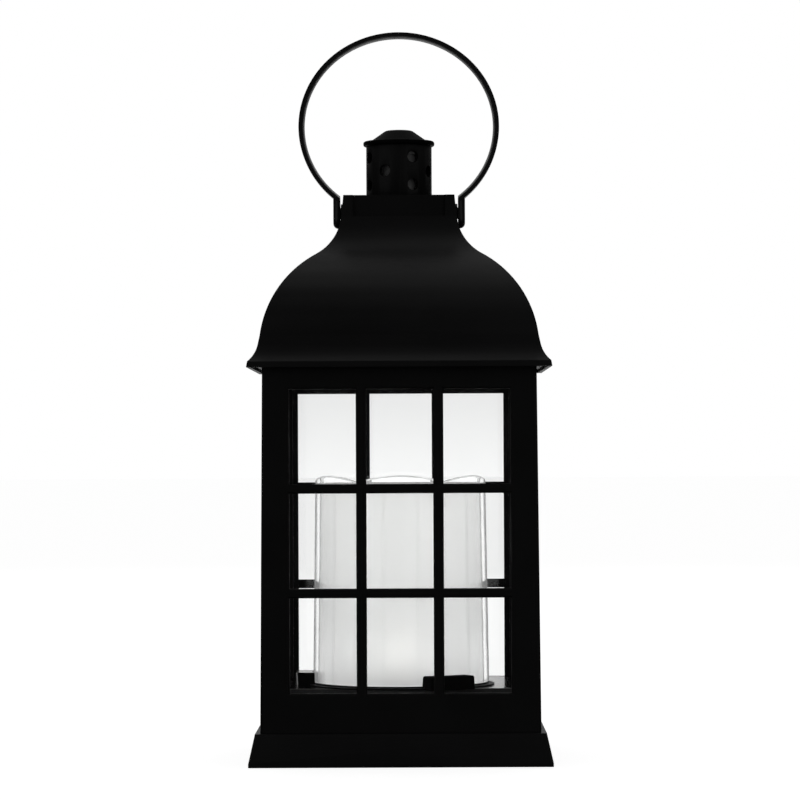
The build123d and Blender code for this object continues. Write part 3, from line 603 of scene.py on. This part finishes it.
# Control board and slide switch: a small green board on two posts, with tinned tracks under its mask,
# and the folded metal can of the switch soldered to its underside.
circuit_board, board_tree, board_shader = new_material("circuit_board")
board_place = own_place(board_tree)
board_tracks = put(
    board_tree,
    "ShaderNodeTexBrick",
    {
        "Vector": board_place,
        "Color1": (0.012, 0.085, 0.028, 1.0),
        "Color2": (0.014, 0.095, 0.032, 1.0),
        "Mortar": (0.035, 0.19, 0.07, 1.0),
        "Scale": 210.0,
        "Mortar Size": 0.09,
        "Mortar Smooth": 0.3,
    },
)
board_gloss = ramp(board_tree, board_tracks.outputs["Fac"], low=0.3, high=0.4)
board_tree.links.new(board_tracks.outputs["Color"], board_shader.inputs["Base Color"])
board_tree.links.new(board_gloss, board_shader.inputs["Roughness"])
raise_relief(board_tree, board_shader, board_tracks.outputs["Fac"], depth=0.00004, strength=0.6)
finish_node("control_board", circuit_board)
switch_metal = plated_metal("switch_metal", dark=(0.5, 0.5, 0.5), pale=(0.66, 0.66, 0.66))
finish_node("switch_body", switch_metal)
knob_plastic = moulded_plastic(
    "knob_plastic",
    dark=(0.02, 0.02, 0.02),
    pale=(0.03, 0.03, 0.03),
    smooth=0.3,
    rough=0.4,
    grain_depth=0.00003,
    specular=0.4,
)
finish_node("switch_knob", knob_plastic, edge=0.0001)

# Candle foot: the disc under the candle, moulded in the same black plastic. The three clips of the deck
# hold it down by its flange.
finish_node("candle_base", black_plastic, edge=0.0003)

# Lamp: a turned white pedestal, a round-nosed white LED, lit, and its two leads, red and black,
# which come up through the foot.
white_plastic = moulded_plastic(
    "white_plastic",
    dark=(0.74, 0.74, 0.73),
    pale=(0.80, 0.80, 0.79),
    smooth=0.32,
    rough=0.42,
    grain_depth=0.00003,
    specular=0.4,
)
finish_node("led_holder", white_plastic, edge=0.0004)
bulb_resin, bulb_tree, bulb_shader = new_material(
    "bulb_resin", Roughness=0.06, IOR=1.5, Transmission_Weight=0.9, Emission_Strength=1.0
)
bulb_place = own_place(bulb_tree)
bulb_axes = split(bulb_tree, bulb_place)
bulb_rise = ramp(bulb_tree, bulb_axes["Z"], start=0.0396, end=0.0485)
bulb_tint = mix_colours(bulb_tree, bulb_rise, (0.9, 0.88, 0.84, 1.0), (0.96, 0.95, 0.92, 1.0))
bulb_tree.links.new(bulb_tint, bulb_shader.inputs["Base Color"])
bulb_tree.links.new(bulb_tint, bulb_shader.inputs["Emission Color"])
finish_node("led_bulb", bulb_resin)
wire_cover, wire_tree, wire_shader = new_material("wire_cover")
wire_place = own_place(wire_tree)
wire_axes = split(wire_tree, wire_place)
wire_side = ramp(wire_tree, wire_axes["X"], start=-0.0001, end=0.0001)
wire_tint = mix_colours(wire_tree, wire_side, (0.012, 0.012, 0.012, 1.0), (0.38, 0.018, 0.015, 1.0))
wire_sheath = put(
    wire_tree,
    "ShaderNodeGroup",
    {"Vector": wire_place, "Grain per metre": 600.0, "Smooth": 0.38, "Rough": 0.5},
    node_tree=moulded_grain,
)
wire_tree.links.new(wire_tint, wire_shader.inputs["Base Color"])
wire_tree.links.new(wire_sheath.outputs["Roughness"], wire_shader.inputs["Roughness"])
finish_node("led_wires", wire_cover)

# Candle diffuser: a frosted liner just inside the clear wall, which hides the lamp. It glows of its own,
# painted light that is strongest near the foot, and its colour is a shade paler near the foot, also
# painted light. Its top is dished like a melted pool.
frosted_plastic, frost_tree, frost_shader = new_material(
    "frosted_plastic", IOR=1.3, Transmission_Weight=1.0, Emission_Strength=1.0
)
frost_place = own_place(frost_tree)
frost_axes = split(frost_tree, frost_place)
frost_rise = ramp(frost_tree, frost_axes["Z"], start=0.032, end=0.116)
frost_cloud = noise(frost_tree, frost_place, scale=60.0, detail=3.0)
# Painted light: the liner is a shade paler near the foot, and it glows of its own, most near the foot,
# though it is no lamp.
frost_tone_with_painted_light = mix_colours(frost_tree, frost_rise, (0.998, 0.998, 0.995, 1.0), (0.985, 0.985, 0.98, 1.0))
frost_gloss = ramp(frost_tree, frost_cloud, low=0.94, high=1.0)
frost_painted_glow = put(frost_tree, "ShaderNodeValToRGB", {0: frost_rise})
painted_glow_ramp = frost_painted_glow.color_ramp
painted_glow_ramp.interpolation = "EASE"
frost_painted_glow_levels = {0.0: 0.07, 0.12: 0.07, 0.32: 0.03, 1.0: 0.06}
for share in list(frost_painted_glow_levels)[1:-1]:
    painted_glow_ramp.elements.new(share)
for element, brightness in zip(painted_glow_ramp.elements, frost_painted_glow_levels.values()):
    element.color = (brightness, brightness, brightness, 1.0)
frost_tree.links.new(frost_tone_with_painted_light, frost_shader.inputs["Base Color"])
frost_tree.links.new(frost_painted_glow.outputs["Color"], frost_shader.inputs["Emission Color"])
frost_tree.links.new(frost_gloss, frost_shader.inputs["Roughness"])


def turned(name, outline, steps, material, body, node):
    """Turns a closed outline of radius and height points about the vertical axis into a smooth piece."""
    form = bmesh.new()
    points = [form.verts.new((radius, 0.0, height)) for radius, height in outline]
    edges = [form.edges.new((first, second)) for first, second in zip(points, points[1:] + points[:1])]
    bmesh.ops.spin(
        form,
        geom=points + edges,
        axis=(0.0, 0.0, 1.0),
        cent=(0.0, 0.0, 0.0),
        steps=steps,
        angle=2 * math.pi,
    )
    bmesh.ops.remove_doubles(form, verts=form.verts, dist=1e-6)
    bmesh.ops.dissolve_degenerate(form, edges=form.edges, dist=1e-7)
    bmesh.ops.recalc_face_normals(form, faces=form.faces)
    mesh = bpy.data.meshes.new(name)
    form.to_mesh(mesh)
    form.free()
    mesh.shade_smooth()
    mesh.set_sharp_from_angle(angle=math.radians(35))
    mesh.materials.append(material)
    piece = bpy.data.objects.new(name, mesh)
    bpy.context.scene.collection.objects.link(piece)
    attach(piece, body)
    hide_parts(node)


liner_foot_radius = 0.0354
liner_top_radius = 0.03425
liner_foot = 0.0316
liner_top = 0.1159
liner_wall = 0.001
pool_depth = 0.005
pool_steps = 14
pool_radius = liner_top_radius - liner_wall
pool = [pool_radius * (1 - step / pool_steps) for step in range(pool_steps + 1)]
dish = [(radius, liner_top - pool_depth * (1 - (radius / pool_radius) ** 2)) for radius in pool]
lip_round = 0.0005
lip_bow = 0.00015
liner_outline = [
    (liner_foot_radius, liner_foot),
    (liner_top_radius, liner_top - lip_round),
    (liner_top_radius - lip_bow, liner_top - lip_bow),
    (liner_top_radius - lip_round, liner_top),
    *dish,
    *((radius, height - liner_wall) for radius, height in reversed(dish)),
    (liner_foot_radius - liner_wall, liner_foot),
]
turned(
    "candle_liner",
    liner_outline,
    steps=128,
    material=frosted_plastic,
    body="lantern",
    node="candle_diffuser",
)

# Candle wall: a clear, slightly tapered tube of acrylic round the liner. Its lip is moulded as a ring
# of six broad waves, with a crest towards the front. It glows faintly of its own, painted light that is
# brightest at its edges.
clear_plastic, clear_tree, clear_shader = new_material(
    "clear_plastic", IOR=1.49, Transmission_Weight=1.0, Emission_Strength=1.0
)
clear_place = own_place(clear_tree)
clear_drift = noise(clear_tree, clear_place, scale=70.0, detail=2.0)
clear_tint = mix_colours(clear_tree, clear_drift, (0.99, 0.994, 0.992, 1.0), (0.996, 0.999, 0.998, 1.0))
clear_gloss = ramp(clear_tree, clear_drift, low=0.0, high=0.02)
# Painted light: the acrylic glows faintly of its own, and this brightens the wall most at its edges.
clear_painted_glow = mix_colours(clear_tree, clear_drift, (0.07, 0.07, 0.07, 1.0), (0.08, 0.08, 0.08, 1.0))
clear_tree.links.new(clear_tint, clear_shader.inputs["Base Color"])
clear_tree.links.new(clear_painted_glow, clear_shader.inputs["Emission Color"])
clear_tree.links.new(clear_gloss, clear_shader.inputs["Roughness"])
raise_relief(clear_tree, clear_shader, clear_drift, depth=0.0003, strength=0.12)

wall_tree, wall_in, wall_out = new_group(
    "Candle wall",
    "GeometryNodeTree",
    [
        ("Foot radius", "NodeSocketFloat", 0.0378),
        ("Batter", "NodeSocketFloat", 0.0012),
        ("Foot level", "NodeSocketFloat", 0.0316),
        ("Crest height", "NodeSocketFloat", 0.0883),
        ("Lip wave", "NodeSocketFloat", 0.0026),
        ("Lobes", "NodeSocketInt", 6),
        ("Lip share", "NodeSocketFloat", 0.75),
        ("Acrylic", "NodeSocketMaterial", None),
    ],
    [("Geometry", "NodeSocketGeometry")],
)
wall_sheet = put(
    wall_tree,
    "GeometryNodeMeshCylinder",
    {
        "Vertices": 168,
        "Side Segments": 32,
        "Radius": wall_in.outputs["Foot radius"],
        "Depth": wall_in.outputs["Crest height"],
    },
    fill_type="NONE",
)
wall_point = put(wall_tree, "GeometryNodeInputPosition")
wall_axes = split(wall_tree, wall_point.outputs["Position"])
wall_share = maths(wall_tree, "DIVIDE", wall_axes["Z"], wall_in.outputs["Crest height"])
wall_rise = maths(wall_tree, "ADD", wall_share, 0.5)
wall_lean = maths(wall_tree, "DIVIDE", wall_in.outputs["Batter"], wall_in.outputs["Foot radius"])
wall_draw = maths(wall_tree, "MULTIPLY", wall_rise, wall_lean)
wall_scale = maths(wall_tree, "SUBTRACT", 1.0, wall_draw)
wall_front = maths(wall_tree, "MULTIPLY", wall_axes["Y"], -1.0)
wall_bearing = maths(wall_tree, "ARCTAN2", wall_axes["X"], wall_front)
lobe_turn = maths(wall_tree, "DIVIDE", wall_in.outputs["Lobes"], 2 * math.pi)
lobe_count = maths(wall_tree, "MULTIPLY", wall_bearing, lobe_turn)
lobe_side = maths(wall_tree, "PINGPONG", lobe_count, 0.5)
lobe_half = maths(wall_tree, "MULTIPLY", lobe_side, 2.0)
lobe_fall = maths(wall_tree, "POWER", lobe_half, 2.0)
lip_near = ramp(wall_tree, wall_rise, start=wall_in.outputs["Lip share"], end=1.0)
lip_fall = maths(wall_tree, "MULTIPLY", lobe_fall, lip_near)
lip_drop = maths(wall_tree, "MULTIPLY", lip_fall, wall_in.outputs["Lip wave"])
wall_height = maths(
    wall_tree,
    "MULTIPLY_ADD",
    wall_rise,
    wall_in.outputs["Crest height"],
    wall_in.outputs["Foot level"],
)
wall_level = maths(wall_tree, "SUBTRACT", wall_height, lip_drop)
wall_x = maths(wall_tree, "MULTIPLY", wall_axes["X"], wall_scale)
wall_y = maths(wall_tree, "MULTIPLY", wall_axes["Y"], wall_scale)
wall_place = put(wall_tree, "ShaderNodeCombineXYZ", {"X": wall_x, "Y": wall_y, "Z": wall_level})
wall_shape = put(
    wall_tree,
    "GeometryNodeSetPosition",
    {"Geometry": wall_sheet.outputs["Mesh"], "Position": wall_place.outputs["Vector"]},
)
wall_smooth = put(wall_tree, "GeometryNodeSetShadeSmooth", {0: wall_shape.outputs["Geometry"]})
put_out(wall_tree, wall_smooth.outputs[0], wall_in.outputs["Acrylic"], wall_out)

candle_wall = grow(
    "candle_wall", wall_tree, "lantern", "clear_plastic", node="candle_shell", acrylic=clear_plastic
)
wall_depth = candle_wall.modifiers.new("wall", "SOLIDIFY")
wall_depth.thickness = 0.002
wall_depth.offset = -1.0
wall_depth.use_even_offset = True
ease_edges(candle_wall, width=0.0005, segments=4, angle=50.0)

# Window panels and panes: four tapered frames with nine lights each, moulded in black plastic and mitred
# at the corners. A clear sheet lies in a rebate behind the bars of each.
pane_plastic, pane_tree, pane_shader = new_material("pane_plastic", IOR=1.49, Transmission_Weight=1.0)
pane_place = own_place(pane_tree)
pane_ripple = noise(pane_tree, pane_place, scale=28.0, detail=2.0)
pane_tint = mix_colours(pane_tree, pane_ripple, (0.980, 0.984, 0.982, 1.0), (0.990, 0.993, 0.991, 1.0))
pane_gloss = ramp(pane_tree, pane_ripple, low=0.0, high=0.015)
pane_tree.links.new(pane_tint, pane_shader.inputs["Base Color"])
pane_tree.links.new(pane_gloss, pane_shader.inputs["Roughness"])
for side in ("front", "right", "rear", "left"):
    finish_node(f"{side}_panel", black_plastic, edge=0.0003)
    finish_node(f"{side}_pane", pane_plastic)

# Roof: one ogee shell in black plastic, pushed down over the tops of the panels. Its hips and its eave
# are eased by about a millimetre.
finish_node("roof_shell", black_plastic, edge=0.001, segments=3)

# Chimney: a round tube with vent holes, moulded in the same black plastic. It stands in a seat on top
# of the neck.
finish_node("chimney_tube", black_plastic, edge=0.00025)

# Chimney cap: a moulded dome with a rim, plugged into the tube. The baffle that hangs from it behind
# the vents is glossier, and painted a mid grey that is painted light standing in for the light seen in the
# vents.
cap_plastic, cap_tree, cap_shader = new_material("cap_plastic", Specular_IOR_Level=0.03)
cap_place = own_place(cap_tree)
cap_axes = split(cap_tree, cap_place)
cap_grain = grained(
    cap_tree,
    cap_place,
    dark=(0.0014, 0.0014, 0.0015),
    pale=(0.0022, 0.0022, 0.0023),
    smooth=0.5,
    rough=0.62,
)
# Painted light: the baffle's mid grey stands in for light seen in the vents.
baffle_painted_light_grey = (0.2, 0.2, 0.2, 1.0)
baffle_roughness = 0.25
baffle_mask = ramp(cap_tree, cap_axes["Z"], start=0.2615, end=0.2605)
cap_grain_and_painted_light = mix_colours(cap_tree, baffle_mask, cap_grain["Color"], baffle_painted_light_grey)
cap_gloss = mix_values(cap_tree, baffle_mask, cap_grain["Roughness"], baffle_roughness)
cap_tree.links.new(cap_grain_and_painted_light, cap_shader.inputs["Base Color"])
cap_tree.links.new(cap_gloss, cap_shader.inputs["Roughness"])
raise_relief(cap_tree, cap_shader, cap_grain["Height"], black_grain_depth)
finish_node("chimney_cap", cap_plastic, edge=0.0002)

# Bail: a ring handle moulded flat and bent to an oval, in a slightly glossier black plastic. Its studs
# snap through the sides of the neck.
bail_plastic = moulded_plastic(
    "bail_plastic",
    dark=(0.0034, 0.0034, 0.0035),
    pale=(0.0048, 0.0048, 0.0050),
    smooth=0.32,
    rough=0.42,
    grain_depth=0.00003,
    specular=0.3,
)
finish_node("handle_bail", bail_plastic, edge=0.0003)

# Floor: a white sweep under the lantern, lit from within so that it is as white as the backdrop. It takes
# a faint shadow round the base. Only the camera sees it, straight or through clear plastic.
floor_half = 20.0
floor_mesh = bpy.data.meshes.new("floor")
floor_signs = [(-1, -1), (1, -1), (1, 1), (-1, 1)]
floor_corners = [(x * floor_half, y * floor_half, 0.0) for x, y in floor_signs]
floor_mesh.from_pydata(floor_corners, [], [(0, 1, 2, 3)])
floor = bpy.data.objects.new("floor", floor_mesh)
bpy.context.scene.collection.objects.link(floor)
floor.visible_diffuse = False
floor.visible_glossy = False

floor_paint, floor_tree, floor_shader = new_material("floor_paint", Roughness=0.9, Specular_IOR_Level=0.0)
floor_shader.inputs["Base Color"].default_value = (0.4, 0.4, 0.4, 1.0)
floor_shader.inputs["Emission Color"].default_value = (1.0, 1.0, 1.0, 1.0)
floor_place = own_place(floor_tree)
floor_reach = put(floor_tree, "ShaderNodeVectorMath", {0: floor_place}, operation="LENGTH")


def soft_ramp(tree, value, start, end, low=0.0, high=1.0):
    """Maps a value as a ramp does, with a soft start and end."""
    return ramp(tree, value, start, end, low, high, interpolation_type="SMOOTHSTEP")


floor_near = soft_ramp(floor_tree, floor_reach.outputs["Value"], start=0.1, end=0.6, low=0.88, high=0.94)
floor_far = soft_ramp(floor_tree, floor_reach.outputs["Value"], start=1.4, end=2.8, low=1.0, high=0.88)
floor_glow = maths(floor_tree, "MULTIPLY", floor_near, floor_far)
floor_tree.links.new(floor_glow, floor_shader.inputs["Emission Strength"])
floor_side = put(floor_tree, "ShaderNodeNewGeometry")
floor_rays = put(floor_tree, "ShaderNodeLightPath")
floor_bounces = maths(
    floor_tree,
    "ADD",
    floor_rays.outputs["Diffuse Depth"],
    floor_rays.outputs["Glossy Depth"],
)
floor_unseen = maths(floor_tree, "ADD", floor_bounces, floor_side.outputs["Backfacing"], use_clamp=True)
floor_below = put(floor_tree, "ShaderNodeBsdfTransparent")
floor_mix = put(
    floor_tree,
    "ShaderNodeMixShader",
    {0: floor_unseen, 1: floor_shader.outputs["BSDF"], 2: floor_below.outputs["BSDF"]},
)
floor_tree.links.new(floor_mix.outputs["Shader"], floor_tree.nodes["Material Output"].inputs["Surface"])
floor_mesh.materials.append(floor_paint)

# Studio: a dim room with a lit white panel and a pale floor behind the lantern, a broad light overhead and
# a soft box on each side of the camera. Whatever is seen straight or through clear plastic is near white.
world = bpy.data.worlds.new("studio")
bpy.context.scene.world = world
world.use_nodes = True
world_tree = world.node_tree
direction = put(world_tree, "ShaderNodeTexCoord")
axes = split(world_tree, direction.outputs["Generated"])
room = soft_ramp(world_tree, axes["Y"], start=-1.0, end=-0.4, low=0.013, high=0.05)
ceiling = soft_ramp(world_tree, axes["Z"], start=0.05, end=0.5, low=0.0, high=0.105)
room_ceiling = maths(world_tree, "ADD", room, ceiling)
panel = soft_ramp(world_tree, axes["Y"], start=0.8, end=0.97, low=0.0, high=0.9)
overhead_rise = soft_ramp(world_tree, axes["Z"], start=0.2, end=0.9, low=0.0, high=0.6)
overhead_reach = soft_ramp(world_tree, axes["Y"], start=-0.5, end=0.4)
overhead_light = maths(world_tree, "MULTIPLY_ADD", overhead_rise, overhead_reach, room_ceiling)
room_level = maths(world_tree, "ADD", overhead_light, panel)
left_box = (-0.72, -0.68, 0.1)
right_box = (0.52, -0.84, 0.1)
pale_floor = (0.0, 0.84, -0.54)
for aim in (left_box, right_box, pale_floor):
    towards = put(
        world_tree,
        "ShaderNodeVectorMath",
        {0: direction.outputs["Generated"], 1: aim},
        operation="DOT_PRODUCT",
    )
    soft_light = soft_ramp(world_tree, towards.outputs["Value"], start=0.86, end=0.98, low=0.0, high=0.5)
    room_level = maths(world_tree, "ADD", room_level, soft_light)
rays = put(world_tree, "ShaderNodeLightPath")
bounces = maths(world_tree, "ADD", rays.outputs["Diffuse Depth"], rays.outputs["Glossy Depth"])
first_bounce = 0.5
fourth_wall = 4.5
unbounced = maths(world_tree, "LESS_THAN", bounces, first_bounce)
many_walls = maths(world_tree, "GREATER_THAN", rays.outputs["Transmission Depth"], fourth_wall)
clear_path = maths(world_tree, "MAXIMUM", unbounced, many_walls)
seen_through = maths(world_tree, "MULTIPLY", rays.outputs["Is Transmission Ray"], clear_path)
seen = maths(world_tree, "MAXIMUM", rays.outputs["Is Camera Ray"], seen_through)
glow = ramp(world_tree, axes["Z"], start=-0.007, end=0.018, low=1.1, high=0.93)
brighter_side = ramp(world_tree, axes["X"], start=-1.0, end=1.0, low=0.89, high=1.11)
glow_level = maths(world_tree, "MULTIPLY", glow, brighter_side)
white = 1.0
shown = mix_values(world_tree, seen_through, white, glow_level)
level = mix_values(world_tree, seen, room_level, shown)
backdrop = world_tree.nodes["Background"]
backdrop.inputs["Color"].default_value = (1.0, 1.0, 1.0, 1.0)
world_tree.links.new(level, backdrop.inputs["Strength"])

# Soft lamp: one large square lamp high above the lantern and a little behind it, which lights what faces
# up and leaves the front in shade.
lamp_data = bpy.data.lights.new("overhead", "AREA")
lamp_data.shape = "SQUARE"
lamp_data.size = 0.9
lamp_data.energy = 0.8
lamp = bpy.data.objects.new("overhead", lamp_data)
lamp.location = (0.0, 0.15, 1.35)
bpy.context.scene.collection.objects.link(lamp)

# View: plain colours.
bpy.context.scene.view_settings.view_transform = "Standard"
